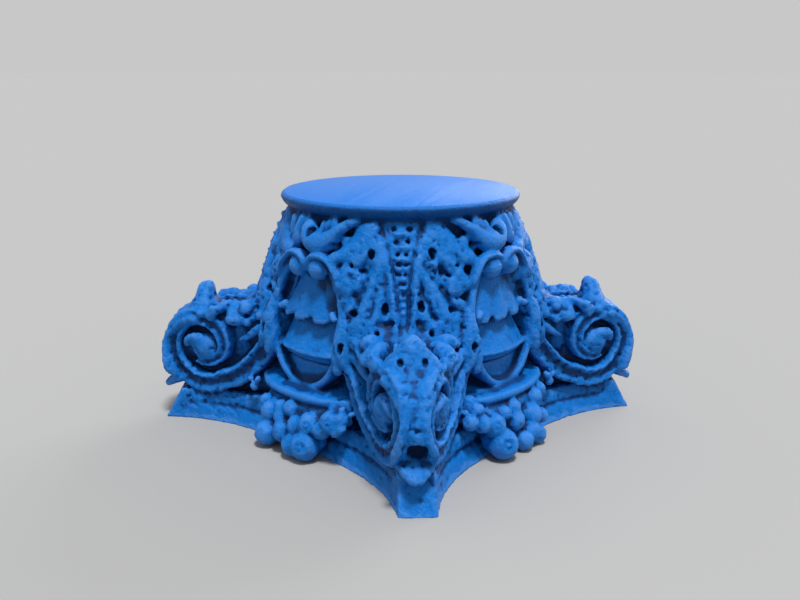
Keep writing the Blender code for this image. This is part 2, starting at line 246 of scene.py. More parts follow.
LEAF_PATH = [Vector(p) for p in ((147.5, 0, 287), (156.6, 0, 268.8), (166.8, 0, 248.4), (173.5, 0, 228),
                                 (180.5, 0, 208), (186, 0, 190), (194, 0, 171), (205, 0, 158),
                                 (223, 0, 153), (244, 0, 156))]
LEAF_HALF = (60.0, 69.0, 73.0, 71.0, 66.0, 62.0, 57.0, 51.0, 44.0, 30.0)
LEAF_SPREAD = (70.0, 92.0, 92.0, 90.0, 88.0, 82.0, 72.0, 58.0, 46.0, 32.0)
LEAF_LEAN = (-5.0, -5.5, -6.0, -6.0, -6.0, -5.5, -5.0, -4.0, -3.5, -3.0)


def leaf_spot(x, v, lift=0.0):
    """Point on the leaf's face, x to the side of its midrib, at a share of the way from neck to tip."""
    ahead = (blend(LEAF_PATH, min(v + 0.02, 1.0)) - blend(LEAF_PATH, max(v - 0.02, 0.0))).normalized()
    front = Vector((-ahead.z, 0.0, ahead.x))
    half = blend(LEAF_HALF, v)
    fall = 0.27 * half * min(abs(x) / half, 1.35) ** 1.8
    return blend(LEAF_PATH, v) + Vector((0, x + blend(LEAF_LEAN, v), 0)) + front * (lift - fall)


def leaf_share(z):
    """Share of the way along the leaf where its midrib is at a height."""
    low, high = 0.0, 0.86
    for _ in range(18):
        middle = 0.5 * (low + high)
        if blend(LEAF_PATH, middle).z > z:
            low = middle
        else:
            high = middle
    return low


def on_leaf(x, z, lift=0.0):
    """Point on the leaf's face for a sideways offset and a height."""
    return leaf_spot(x, leaf_share(z), lift)


def leaf_front(x, z):
    """Outward direction of the leaf's face."""
    a = on_leaf(x, z)
    across = on_leaf(x + 1.0, z) - a
    down = on_leaf(x, z - 1.0) - a
    front = down.cross(across).normalized()
    return front if front.x > 0 else -front


# Ridges of the leaf as runs of (side, height, half width, lift); each half has its own
RIDGES_LEFT = (
    ((-17, 204, 6, -1.5), (-22, 180, 7, -1.5), (-27, 164, 6, -2.0)),
    ((-36, 292, 13, 3), (-40, 275, 13, 3.5), (-53, 262, 10, 3), (-66, 256, 8, 2.5), (-77, 252, 8.5, 3)),
    ((-24, 262, 10, 1), (-42, 258, 10, 2), (-55, 244, 9, 2.5), (-65, 230, 9, 3), (-70, 220, 9, 3.5)),
    ((-62, 226, 7, 3), (-73, 223, 6.5, 3.5)),
    ((-62, 226, 7, 3), (-63, 213, 6.5, 3.5)),
    ((-50, 238, 6, 2), (-53, 218, 6, 3)),
    ((-24, 250, 9, 1.5), (-28, 233, 8.5, 2.5), (-39, 212, 9, 3), (-46, 191, 8.5, 3.5), (-53, 172, 8, 4)),
    ((-52, 176, 7, 3), (-60, 166, 6.5, 4)),
    ((-52, 176, 7, 3), (-50, 158, 6.5, 4)),
    ((-48, 178, 6, 2), (-41, 164, 6, 3.5)),
    ((-60, 204, 5, -1), (-67, 201, 5.5, 0.5)),
    ((-54, 197, 5, 0), (-61, 192, 5.5, 1)),
    ((-20, 268, 8, -0.5), (-16, 240, 6, 1), (-13, 213, 5.5, 1.5), (-9, 184, 5, 1.5), (-9, 165, 5, 1.5)),
    ((-20, 222, 6.5, 0.5), (-26, 200, 7, 2), (-33, 181, 7, 3), (-37, 165, 7, 3.5), (-39, 158, 7, 3)),
    ((-18, 190, 4, 0), (-21, 175, 4.5, 3)),
    ((-27, 182, 4, 0), (-29, 174, 4.5, 3)),
)
RIDGES_RIGHT = (
    ((17, 204, 6, -1.5), (22, 180, 7, -1.5), (27, 164, 6, -2.0)),
    ((36, 292, 13, 3), (42, 277, 13, 3.5), (56, 266, 11, 3), (70, 258, 10, 3.5), (79, 252, 10.5, 5)),
    ((30, 268, 10, 1), (46, 259, 10, 2), (58, 243, 9, 2.5), (67, 228, 8.5, 3), (74, 221, 8.5, 4)),
    ((66, 228, 7, 3), (67, 214, 6.5, 3.5)),
    ((58, 232, 6, 2), (60, 211, 6, 3)),
    ((30, 254, 5, 0), (37, 242, 6.5, 4)),
    ((22, 262, 8, 0), (24, 235, 8, 1.5), (35, 214, 9, 2.5), (42, 195, 10.5, 4), (53, 180, 10.5, 4.5),
     (60, 170, 9.5, 4.5)),
    ((62, 200, 5.5, 0), (70, 196, 5.5, 1)),
    ((66, 184, 5.5, 0), (68, 176, 6, 1)),
    ((17, 268, 8, -0.5), (18, 242, 6, 1), (16, 220, 5.5, 1.5), (14, 193, 5, 1.5), (10, 165, 5, 1.5)),
    ((18, 200, 6, 0.5), (24, 186, 6.5, 2.5), (28, 175, 7, 4)),
    ((26, 172, 6, 2), (36, 162, 8, 3.5), (47, 157, 7.5, 4)),
    ((40, 172, 5, 1), (52, 162, 6, 3)),
)
# Half width of the narrow panel along the midrib, at rising heights
PANEL_HALF = ((150, 3.4), (164, 3.8), (192, 6.0), (204, 6.6), (222, 8.4), (238, 11.7), (260, 17.0),
              (287, 26.0))
# Furrows between the ridges: two ends, half width and depth
FURROWS = ((-33, 240, -44, 213, 3.0, 3.5), (-44, 213, -56, 190, 3.6, 4.5), (-35, 253, -47, 236, 3.0, 4.0),
           (-47, 236, -62, 240, 3.0, 4.5), (-21, 198, -19, 225, 2.2, 3.0), (-21, 190, -31, 167, 2.6, 3.5),
           (35, 253, 47, 232, 2.8, 4.0), (47, 232, 57, 229, 2.6, 4.0), (57, 229, 66, 240, 2.6, 3.5),
           (25, 238, 44, 214, 2.6, 3.5), (44, 214, 57, 192, 3.2, 4.5), (21, 196, 22, 222, 2.2, 3.0),
           (30, 190, 44, 176, 2.4, 4.0), (44, 176, 51, 171, 2.8, 4.0), (21, 192, 31, 167, 2.4, 3.0))
# Ridges stand on a sunk ground that falls away at the leaf's edge, and a groove runs along the panel
RIDGE_SWELL = 1.12
RIDGE_DEPTH = 8.0
GROUND = -5.5
EDGE_FALL = 13.0
EDGE_WIDTH = 13.0
GROOVE_DEPTH = 4.5
GROOVE_HALF = 1.7
# Raster of the relief, in whole millimetres to each side and up
RELIEF_SIDE = 100
RELIEF_LOW = 150
RELIEF_HIGH = 300


def panel_half(z):
    """Half width of the narrow panel along the midrib, at one height or at many."""
    return np.interp(z, *zip(*PANEL_HALF))


def beside(x, z, start, end):
    """Distance of raster points from a straight run, and the share of the run where each is nearest."""
    (ax, az), (bx, bz) = start, end
    share = np.clip(((x - ax) * (bx - ax) + (z - az) * (bz - az)) / ((bx - ax) ** 2 + (bz - az) ** 2), 0, 1)
    return np.hypot(x - ax - share * (bx - ax), z - az - share * (bz - az)), share


def leaf_relief():
    """Raised ridges, furrows and notches of the leaf on a raster of whole millimetres."""
    sides = np.arange(-RELIEF_SIDE, RELIEF_SIDE + 1.0)
    x, z = np.meshgrid(sides, np.arange(RELIEF_LOW, RELIEF_HIGH + 1.0))
    top = GROUND - EDGE_FALL * np.clip((np.abs(x) - 56 + 0.08 * (z - 200)) / EDGE_WIDTH, 0, 1)
    for ridge in RIDGES_LEFT + RIDGES_RIGHT:
        for (ax, az, aw, al), (bx, bz, bw, bl) in zip(ridge, ridge[1:]):
            away, t = beside(x, z, (ax, az), (bx, bz))
            away = away / (RIDGE_SWELL * (aw + t * (bw - aw)))
            dome = al + t * (bl - al) - RIDGE_DEPTH * (1 - np.sqrt(np.clip(1 - away ** 2, 0, 1)))
            top = np.maximum(top, np.where(away < 1, dome, top))
    for ax, az, bx, bz, wide, deep in FURROWS:
        away, t = beside(x, z, (ax, az), (bx, bz))
        top = top - deep * np.exp(-(away / wide) ** 2)
    half = panel_half(z)
    panel = -1.8 - 0.8 * (x / half) ** 2
    top = np.where(np.abs(x) < half, panel, top)
    return top - GROOVE_DEPTH * np.exp(-((np.abs(x) - half) / GROOVE_HALF) ** 2)


def leaf_skin(bm):
    """Body of the leaf with its relief."""
    relief = leaf_relief()
    face = 0.76

    def place(u, v):
        # the first three quarters of the way round are the face, the rest the back
        u = u if u < 0.9999 else 0.0
        if u < face:
            side = (-1.0 + 2.0 * u / face) * blend(LEAF_SPREAD, v)
            height = blend(LEAF_PATH, v).z if v < 0.62 else 162.0
            column = min(max(side + RELIEF_SIDE, 0.0), 2.0 * RELIEF_SIDE)
            row = min(max(height - RELIEF_LOW, 0.0), RELIEF_HIGH - RELIEF_LOW)
            fade = min(1.0, max(0.0, (0.74 - v) / 0.10))
            return leaf_spot(side, v, relief[int(round(row)), int(round(column))] * fade)
        x = 1.0 - 2.0 * (u - face) / (1.0 - face)
        thick = 26.0 + 20.0 * (1.0 - x * x) * math.sin(math.pi * min(1.0, 0.15 + v * 1.1)) ** 0.5
        return leaf_spot(x * blend(LEAF_SPREAD, v) * 0.9, v, -thick if v < 0.72 else -10.0)

    bent(bm, 190, 130, place)


# Drilled eyes of the leaf: side, height, half width, half height
EYES = ((-35, 253, 4.4, 6.5), (35, 253, 4.4, 7.5), (-47, 234, 4.0, 3.2), (47, 231, 3.2, 3.4),
        (56, 229, 2.8, 3.0), (66, 240, 3.0, 2.8), (-57, 188, 7.0, 4.4), (57, 191, 5.4, 4.4),
        (-21, 192, 4.2, 7.8), (21, 194, 5.4, 7.2), (-31, 167, 3.2, 4.0), (31, 167, 3.4, 4.2),
        (-45, 163, 3.4, 2.8), (50, 165, 4.2, 3.0), (60, 172, 1.8, 1.8), (66, 216, 2.0, 2.0),
        (-58, 241, 2.8, 3.8))
# Rows of small eyes down the midrib panel: height, half the distance between the two, and size
PANEL_EYES = ((279, 9.5, 4.2), (265, 7.0, 3.8), (251, 5.4, 3.4), (240, 4.6, 3.1), (229, 3.6, 2.8),
              (218, 2.8, 2.6), (207, 2.0, 2.4))


# Rounded ends of the leaf's lobes: side, height and radius
LOBE_ENDS = ((-77, 252, 8.5), (-70, 220, 8.5), (-64, 212, 6.0), (-56, 163, 8.0), (-49, 156, 6.5),
             (79, 252, 8.5), (74, 221, 8.5), (66, 212, 6.0), (60, 163, 7.0), (52, 156, 6.5),
             (-66, 238, 5.5), (70, 240, 5.0))


def lobe_ends(bm):
    """Knobs that stand proud at the ends of the leaf's lobes."""
    for x, z, radius in LOBE_ENDS:
        turn = leaf_front(x, z).to_track_quat("Z", "Y").to_matrix()
        knob(bm, on_leaf(x, z, -4.5), (radius, radius * 0.95, radius * 0.95), turn)


def leaf_eyes(bm):
    """Drilled eyes between the ridges and in rows down the midrib panel."""
    for x, z, wide, tall in EYES:
        turn = leaf_front(x, z).to_track_quat("Z", "Y").to_matrix()
        knob(bm, on_leaf(x, z, -2.0), (wide, tall, 12.0), turn)
    for z, apart, size in PANEL_EYES:
        turn = leaf_front(0, z).to_track_quat("Z", "Y").to_matrix()
        for side in (-1, 1):
            knob(bm, on_leaf(side * apart, z, -2.0), (size, size * 0.85, 7.0), turn, 8)


def panel_rungs(bm):
    """Low bars across the midrib panel between the rows of drilled eyes."""
    heights = [row[0] for row in PANEL_EYES] + [198, 190, 182]
    for above, below in zip(heights, heights[1:]):
        z = 0.5 * (above + below)
        half = panel_half(z) * 0.62
        path = [on_leaf(-half, z, -1.6), on_leaf(0, z + 1.0, -0.8), on_leaf(half, z, -1.6)]
        strand(bm, path, (2.2, 2.6, 2.2), (2.4, 3.0, 2.4), (1, 0, 0.2), 8, 10)


# Corner: the leaf's end above the volutes

def leaf_tip(bm):
    """Peaked boss that ends the leaf, curled up like a blunt finger when seen from the side."""
    # height, distance from the axis, half depth and half width
    levels = ((139, 263, 8, 17), (143, 263, 14, 26), (149, 262, 18.5, 30), (156, 261, 18, 29),
              (162, 260.5, 14.5, 23), (169, 259.5, 12.5, 16.5), (176, 258.5, 10.5, 10.5), (181, 257, 7, 7),
              (183.5, 256, 2, 2.5))

    def place(u, v):
        z, s, deep, wide = [blend(column, v) for column in zip(*levels)]
        turn = 2 * math.pi * u
        return Vector((s + deep * math.cos(turn), wide * math.sin(turn), z))

    bent(bm, 36, 32, place)
    for side in (-1, 1):
        # the lobe at each side, and the fold that ties it to the leaf
        knob(bm, (250, side * 37, 147), (8, 8, 8))
        knob(bm, (244, side * 42, 155), (7, 6, 6))
        knob(bm, (262, side * 31, 146), (8, 7, 6))
        fold = ((222, side * 28, 156), (236, side * 37, 155), (246, side * 41, 148), (249, side * 40, 138))
        strand(bm, fold, (10, 9, 7, 4), (6, 6, 6, 5), (1, 0, 0.3))


def tip_eyes(bm):
    """Drilled eyes of the leaf's end."""
    ahead = Vector((1, 0, 0)).to_track_quat("Z", "Y").to_matrix()
    for side in (-1, 1):
        knob(bm, (276, side * 13.0, 157.5), (3.8, 4.4, 10), ahead, 8)
        knob(bm, (270, side * 21, 167), (2.2, 2.2, 8), ahead, 8)


def shelf_lobes(bm, side):
    """Side lobes of the leaf that droop over the top of a volute, and the spikes along its top."""
    for s, wide, low in ((200, 50, 154), (217, 49, 143)):
        droop = ((s - 6, side * 24, 154), (s - 2, side * (wide - 16), 156),
                 (s + 2, side * (wide - 5), low + 5), (s + 3, side * wide, low - 5))
        strand(bm, droop, (8, 10, 9, 7), (5, 7, 8, 7), (0, 0, 1))
    knob(bm, (216, side * 48, 142), (14, 9, 8.0))
    for k in range(5):
        knob(bm, (203 + 8 * k, side * (16 - 2 * (k % 2)), 157.0), (4.0, 3.6, 4.6 - 1.0 * (k % 2)), fine=8)


# Corner: the volutes

SPIRAL = (65.5, 64.5, 61.5, 54.0, 46.5, 39.5, 30.0, 26.5)
BAND = (27.5, 27.5, 27.5, 24.5, 21.5, 18.0, 14.0, 9.0)
SPIRAL_START = -120.0
SPIRAL_STEP = 60.0


def volute_place(side):
    """Matrix from a volute's own plane (outward, up, off its face) to the corner."""
    splay = math.radians(VOLUTE_SPLAY)
    outward = Vector((math.cos(splay), -side * math.sin(splay), 0.0))
    facing = Vector((math.sin(splay), side * math.cos(splay), 0.0))
    up = Vector((0, 0, 1))
    place = Matrix((outward, up, facing)).transposed().to_4x4()
    return Matrix.Translation((EYE_REACH, side * EYE_SPREAD / 2, EYE_HEIGHT)) @ place


TAIL = [Vector(p) for p in ((-127, 17, 0), (-107.5, -3, 0), (-90, -23, 0), (-73, -39, 0), (-56, -49.5, 0),
                            (-38.8, -55.1, 0))]
TAIL_SHARE = 0.24
SPIRAL_SHIFT = Vector((-6.0, 1.6, 0.0))


def volute_edges(v):
    """Outer and inner edge of the band, in the volute's plane, at a share of the band's length."""
    if v < TAIL_SHARE:
        t = v / TAIL_SHARE
        outer = blend(TAIL, t)
        ahead = (blend(TAIL, min(1.0, t + 0.04)) - blend(TAIL, max(0.0, t - 0.04))).normalized()
        return outer, outer + Vector((-ahead.y, ahead.x, 0)) * BAND[0]
    share = (v - TAIL_SHARE) / (1 - TAIL_SHARE)
    angle = math.radians(SPIRAL_START + SPIRAL_STEP * (len(SPIRAL) - 1) * share)
    ray = Vector((math.cos(angle), math.sin(angle), 0))
    outer = SPIRAL_SHIFT + ray * blend(SPIRAL, share)
    return outer, outer - ray * blend(BAND, share)


def strap(bm, side):
    """Volute band: a run from the bell and a spiral, with a notched outer edge and a raised rim inside."""
    place_in = volute_place(side)
    section = ((0.0, -STRAP_DEPTH), (0.0, -5.0), (0.03, -1.6), (0.10, 0.9), (0.20, 0.9), (0.34, -1.6),
               (0.52, -2.6), (0.66, -2.4), (0.74, -0.8), (0.80, 1.6), (0.88, 2.4), (0.95, 1.2),
               (1.0, -3.0), (1.0, -STRAP_DEPTH))

    def place(u, v):
        radial, depth = on_outline(section, u)
        outer, inner = volute_edges(v)
        if radial < 0.3 and v > TAIL_SHARE:
            radial += 0.045 * math.sin(v * 290 + 2.0 * math.sin(v * 61)) * (1 - v)
        spot = outer.lerp(inner, radial)
        return place_in @ Vector((spot.x, spot.y, depth))

    bent(bm, 3 * len(section), 200, place)


def volute_eye(bm, side):
    """Comma-shaped eye of a volute: a dome with a tail that runs into the band."""
    place = volute_place(side)
    spread = place.to_3x3()
    knob(bm, place @ Vector((-6, 0.0, -7)), (19.5, 18.0, 13.0), spread, 16)
    tail = [place @ Vector(p) for p in ((-6, 10, -2), (6, 12, -1.5), (16, 8, -2.0), (21, -2, -5))]
    strand(bm, tail, (7.5, 7.5, 6.0, 4.0), (7, 6.5, 6, 4), spread @ Vector((0, 0, 1)), 12, 18)
    knob(bm, place @ Vector((-5, 0, -28)), (48, 46, 15), spread, 16)
    knob(bm, place @ Vector((-5, 0, -24)), (59, 58, 11), spread, 20)


def rim_beads(bm, side):
    """Small beads along the inner edge of the volute's run."""
    place = volute_place(side)
    for k in range(26):
        v = 0.03 + 0.0135 * k
        outer, inner = volute_edges(v)
        spot = outer.lerp(inner, 0.86)
        size = 2.5 + 0.6 * math.sin(2.6 * k)
        knob(bm, place @ Vector((spot.x, spot.y, 1.2)), (size, size, size), fine=6)


def corner_web(bm):
    """Stone between the two volutes, sunk behind their edges."""
    # distance from the axis, half width, foot and top
    keys = ((130, 54, 20, 158), (176, 43, 26, 158), (214, 29, 34, 156), (246, 20, 36, 148),
            (266, 15, 37, 132), (279, 11, 38, 116), (289, 8, 40, 98))

    def place(u, v):
        s, half, low, high = [blend(column, v) for column in zip(*keys)]
        turn = 2 * math.pi * u
        box = 1.0 / max(abs(math.cos(turn)), abs(math.sin(turn))) * 0.92
        z = 0.5 * (low + high) + 0.5 * (high - low) * math.sin(turn) * box
        return Vector((s, half * math.cos(turn) * box, z))

    bent(bm, 32, 30, place)


def stem(bm):
    """Edges of the two volutes where they meet, the sunk strip between them and the calyx at its foot."""
    for side in (-1, 1):
        edge = ((262, side * 28, 134), (274, side * 26.5, 137), (287, side * 20, 132),
                (301, side * 13.5, 119), (311.5, side * 10.5, 105), (313, side * 13, 88),
                (308, side * 17.5, 70), (297, side * 18, 54))
        strand(bm, edge, (5.8, 7.2, 6.8, 5.4, 4.4, 5.4, 6.0, 5.0), (8, 9, 9, 9, 8, 9, 12, 9),
               (1, side * 0.5, 0.3), 12, 44)
    strip = ((250, 0, 137), (263, 0, 130), (275.5, 0, 121), (289, 0.5, 107), (300, 1.5, 95))
    strand(bm, strip, (25, 21, 15, 10, 8), (6, 6, 6, 6, 5), (1, 0, 0.8), 16, 30)
    for across, z, size in ((-7, 103, 4.4), (11, 103, 4.6), (2.5, 104, 4.4), (-2, 94, 5.0), (7.5, 93, 5.0)):
        knob(bm, (314.5, across, z), (6.5, size, size * 0.9), fine=10)
    foot = ((311, 3, 98), (315, 3.5, 91), (316, 4.0, 86), (311, 4, 80))
    strand(bm, foot, (8, 9.5, 11.5, 9), (5, 5.5, 5, 4), (1, 0, 0))


def tongue(bm):
    """Broad leaf tongue that lies on the abacus corner below the mouth, ending in a low point."""
    middle = ((282, 2, 56), (296, 2, 53), (307, 1.5, 47.5), (316, 1.2, 42), (321, 1, 38))
    strand(bm, middle, (19, 19, 15.5, 9, 3), (8, 8.5, 7, 5.5, 4), (0.4, 0, 1), 16, 26)
    for side in (-1, 1):
        rim = ((288, 2 + side * 20, 60), (300, 2 + side * 18, 53), (311, 1.5 + side * 11, 46),
               (320, 1 + side * 2, 38.5))
        strand(bm, rim, (3.6, 4.0, 3.6, 2.6), (4, 5, 5, 4), (0.4, 0, 1), 10, 18)
    knob(bm, (309, 1.5, 48), (7, 8, 4))


def mouth(bm):
    """Hollow over the tongue, shadow lines of the boss and the strip, the calyx's eye and two chips."""
    ahead = Vector((1, 0, -0.1)).to_track_quat("Z", "Y").to_matrix()
    knob(bm, (312, 3.0, 71), (12.0, 14.0, 17.0), ahead, 18)
    under = ((271, -25, 141), (278, -13, 139.5), (281, 0, 139), (278, 13, 139.5), (271, 25, 141))
    strand(bm, under, (2.0, 2.6, 2.8, 2.6, 2.0), (8, 8, 8, 8, 8), (1, 0, 0), 10, 26)
    for side in (-1, 1):
        knob(bm, (313, 3 + side * 7.5, 64), (5.5, 6.5, 11.0), ahead)
        line = ((270, side * 17.5, 138), (283, side * 13, 129), (294, side * 8.5, 116), (303, side * 6, 104))
        strand(bm, line, (1.8, 2.2, 2.0, 1.4), (6, 6, 6, 5), (1, 0, 0.8), 8, 24)
    knob(bm, (320, 2.8, 98), (3.2, 3.0, 8.0), ahead, 8)
    for side in (-1, 1):
        knob(bm, (311, 5 + side * 3.0, 22 - side * 5), (5.5, 4.0, 3.4), ahead, 8)


# Faces: the oval frame and its flower

FRAME_MIDDLE = 0.5 * (FRAME_LOW + FRAME_TOP)
FRAME_HALF = 0.5 * (FRAME_TOP - FRAME_LOW)


def frame_out(z):
    """Outward reach of the leaning oval frame at a height."""
    return float(np.interp(z, (FRAME_LOW, 120, 180, FRAME_TOP), (178, 175, 168, 160)))


def oval_frame(bm):
    """Strap bent to an oval, open at the top where its ends curl inward round two balls."""
    gap = 13.0

    def place(u, v):
        angle = math.radians(gap + (360 - 2 * gap) * v)
        across = FRAME_WIDTH / 2 * math.copysign(abs(math.sin(angle)) ** 0.9, math.sin(angle))
        z = FRAME_MIDDLE + FRAME_HALF * math.cos(angle)
        normal = Vector((0, math.sin(angle) / FRAME_WIDTH, math.cos(angle) / (2 * FRAME_HALF))).normalized()
        front = frame_out(z)
        back = min(bell_front(across, z), front) - 8
        half = FRAME_STRAP / 2 * (1.0 + 0.25 * max(0.0, math.cos(angle)) ** 2)
        turn = 2 * math.pi * u
        sway = math.cos(turn)
        lift = math.sin(turn)
        reach = front + 2.0 * lift - (front - back) * max(0.0, -lift) ** 0.5 * 1.0
        return Vector((reach, across, z)) + normal * half * sway

    bent(bm, 16, 90, place)


def frame_scrolls(bm, side):
    """Ball under each curled end of the frame, with the strap rolled over it."""
    knob(bm, (161, side * 17.0, 226.5), (15, 14.0, 14.0), fine=16)
    strand(bm, ((160, side * 3, 221), (164, side * 3, 231), (165, side * 9, 239.5), (164, side * 21, 242.5),
                (162, side * 35, 238), (163, side * 47, 226), (164, side * 54, 210)),
           (3.5, 4.5, 4.6, 4.6, 4.6, 4.4, 3.6), (7, 9, 9, 9, 9, 8, 6), (1, 0, 0.1), 12, 36)


def flower(bm):
    """Two-tier hanging flower in low relief inside the frame."""
    def tier(heights, halves, middle, sides, lobes, hem, fold):
        def place(u, v):
            u = u if u < 0.9999 else 0.0
            z = heights[0] + (heights[1] - heights[0]) * v
            half = halves[0] + (halves[1] - halves[0]) * v ** 1.2
            if u > 0.7:
                x = 1.0 - 2.0 * (u - 0.7) / 0.3
                return Vector((bell_front(half * 0.9, z) - 14, x * half * 0.94, z))
            x = -1.0 + 2.0 * u / 0.7
            crest = middle[0] + (middle[1] - middle[0]) * v ** 1.4
            edge = sides[0] + (sides[1] - sides[0]) * v ** 1.4
            wave = fold * math.cos(math.pi * lobes * (x + 0.12)) * v ** 1.5
            drop = -hem * abs(math.cos(0.5 * math.pi * lobes * (x + 0.12))) * v ** 5
            reach = edge + (crest - edge) * (1 - abs(x) ** 2.2) - 4.0 * abs(x) ** 12 + wave
            return Vector((reach - 1.5 * max(0.0, (v - 0.92) / 0.08) ** 2, x * half, z + drop))
        bent(bm, 64, 40, place)

    tier((FLOWER_TOP, 168), (28, 47), (159, 175), (153, 168), 3, 8.0, 1.8)
    tier((172, 124), (38, 50), (158, 180), (152, 169), 2, 1.5, 0.8)
    tier((125, 120), (51, 51), (181, 182), (171, 171), 2, 0.0, 0.3)
    tier((118, 112), (49, 47), (177, 173), (166, 163), 2, 0.0, 0.3)
    for side in (-1, 1):
        spike = ((163, side * 40, 176), (168, side * 47, 171), (168, side * 52, 172))
        strand(bm, spike, (5.0, 4.5, 2.0), (6, 5, 3), (1, 0, 0), 10, 16)
    tier((108, 83), (47, 32), (168, 173), (160, 168), 2, 0.0, 0.3)
    for across, z in ((-13, 164), (19, 165)):
        knob(bm, (172.5 - 0.10 * abs(across), across, z), (4.0, 6.5, 5.5), fine=10)


def flower_grooves(bm):
    """Undercut shadow lines under the flower's hems."""
    strand(bm, ((172, -50, 121), (184, -26, 119.5), (187, 0, 119), (184, 26, 119.5), (172, 50, 121)),
           (1.1, 1.5, 1.5, 1.5, 1.1), (10, 10, 10, 10, 10), (1, 0, 0), 10, 40)
    strand(bm, ((166, -46, 110), (178, -24, 108), (181, 0, 107.5), (178, 24, 108), (166, 46, 110)),
           (2.2, 3.0, 3.0, 3.0, 2.2), (10, 10, 10, 10, 10), (1, 0, 0), 10, 40)


# Faces: the curled leaf under the astragal

def neck_leaf(bm, hand):
    """Curled leaf under the astragal: a thick crescent with one long arm, beside a smaller hanging lobe."""
    def arm(keys, widths, depths, around=14, along=30):
        path = [(bell_front(y, z) + lift, hand * y, z) for y, z, lift in keys]
        strand(bm, path, widths, depths, (1, 0, 0), around, along)

    arm(((-7, 282, 5), (-6, 270, 10), (1, 259, 14), (14, 256, 15), (27, 262, 13), (38, 273, 11), (50, 282, 8),
         (60, 286, 4)),
        (8, 11.5, 13.5, 14, 11.5, 7.5, 5.5, 3.5), (9, 12, 14, 14, 12, 9, 8, 5), 16, 40)
    arm(((4, 263, 8), (16, 262, 9), (28, 268, 8)), (11, 12, 8), (10, 12, 8))
    for across, z in ((14, 274), (23, 277), (31, 281)):
        arm(((across, z + 6, 3), (across, z, 9), (across + 1, z - 7, 10)), (4.6, 4.2, 2.6), (6, 5, 4), 10, 14)
    arm(((-20, 286, 4), (-25, 272, 9), (-28, 258, 12), (-27, 251, 10)), (7, 7.5, 9.5, 8), (8, 9, 10, 8))
    arm(((-40, 284, 4), (-43, 268, 7), (-42, 256, 8)), (6, 7, 6.5), (8, 9, 8))
    arm(((-12, 286, 3), (-14, 276, 7), (-17, 266, 8)), (4, 4.5, 4), (6, 6, 5))
    arm(((44, 266, 5), (47, 255, 8), (46, 247, 7)), (6.5, 7.5, 6), (7, 8, 7))
    for side in (-1, 1):
        knob(bm, (bell_front(33, 247) + 4, side * 35, 248), (8, 7, 7))
    knob(bm, (bell_front(0, 245) + 4, 2 * hand, 247), (8, 8, 6))


def neck_eyes(bm, hand):
    """Drilled eyes of the curled leaf."""
    ahead = Vector((1, 0, 0.15)).to_track_quat("Z", "Y").to_matrix()
    knob(bm, (166, 3.0 * hand, 271), (4.8, 7.2, 15), ahead, 12)
    for across, z, size in ((-34, 264, 4.0), (36, 256, 3.6), (-18, 248, 3.0), (18, 247, 2.6)):
        knob(bm, (156, across * hand, z), (size, size * 1.1, 12), ahead, 8)


# Faces: tassels, lip and fruit

def tassel(bm, side):
    """Eyed leaf and drops that hang beside the lower part of the frame."""
    strand(bm, ((158, side * 59, 186), (166, side * 63, 168), (173, side * 68, 147), (176, side * 73, 128),
                (174, side * 77, 117)), (6, 9, 13.5, 9, 6), (9, 9, 9, 8, 6), (1, side * 0.5, 0), 14, 34)
    drop = ((170, side * 58, 146), (176, side * 60, 130), (177, side * 62, 117))
    strand(bm, drop, (6, 8, 7.5), (6, 8, 7.5), (1, 0, 0), 12, 20)
    knob(bm, (177, side * 62, 115), (8, 8, 8.5))
    knob(bm, (174, side * 78, 119), (8, 7.5, 9))
    strand(bm, ((172, side * 78, 138), (174, side * 92, 130), (178, side * 108, 119), (182, side * 120, 113)),
           (7, 6, 4.5, 2.0), (6, 5, 4, 2), (1, side, 0), 10, 20)
    for across, z, size in ((84, 60, 6.5), (78, 70, 5), (92, 68, 4)):
        knob(bm, (187, side * across, z), size, fine=8)


def tassel_eyes(bm, side):
    """Drilled eye of the hanging leaf."""
    ahead = Vector((1, side * 0.08, 0)).to_track_quat("Z", "Y").to_matrix()
    knob(bm, (183, side * 70.0, 142), (4.4, 7.5, 14), ahead, 10)
    knob(bm, (171, side * 63, 158), (3.2, 3.6, 9), ahead, 8)


def lip(bm):
    """Shelf that flares from the bell between two volutes, with a thin roll along its edge."""
    edge = [(LIP_RADIUS - 6, LIP_HEIGHT + 5.2)]
    for step in range(9):
        angle = math.pi * (0.62 - step / 7.0)
        edge.append((LIP_RADIUS + LIP_ROUND * math.cos(angle), LIP_HEIGHT + LIP_ROUND * math.sin(angle)))
    above = ((BELL_RADIUS, 22), (157, 18), (167, 11), (177, 8))
    below = ((LIP_RADIUS - 10, -8), (160, -12), (BELL_RADIUS, -14))
    profile = [(r, LIP_HEIGHT + rise) for r, rise in above] + edge
    profile += [(r, LIP_HEIGHT + rise) for r, rise in below]

    def place(u, v):
        share = -1 + 2 * v
        reach, z = on_outline(profile, u)
        draw = 1 - 0.05 * share ** 4
        turn = Matrix.Rotation(math.radians(LIP_SWEEP * share), 3, "Z")
        return turn @ Vector((reach * draw, 0, z))

    bent(bm, 4 * len(profile), 70, place)


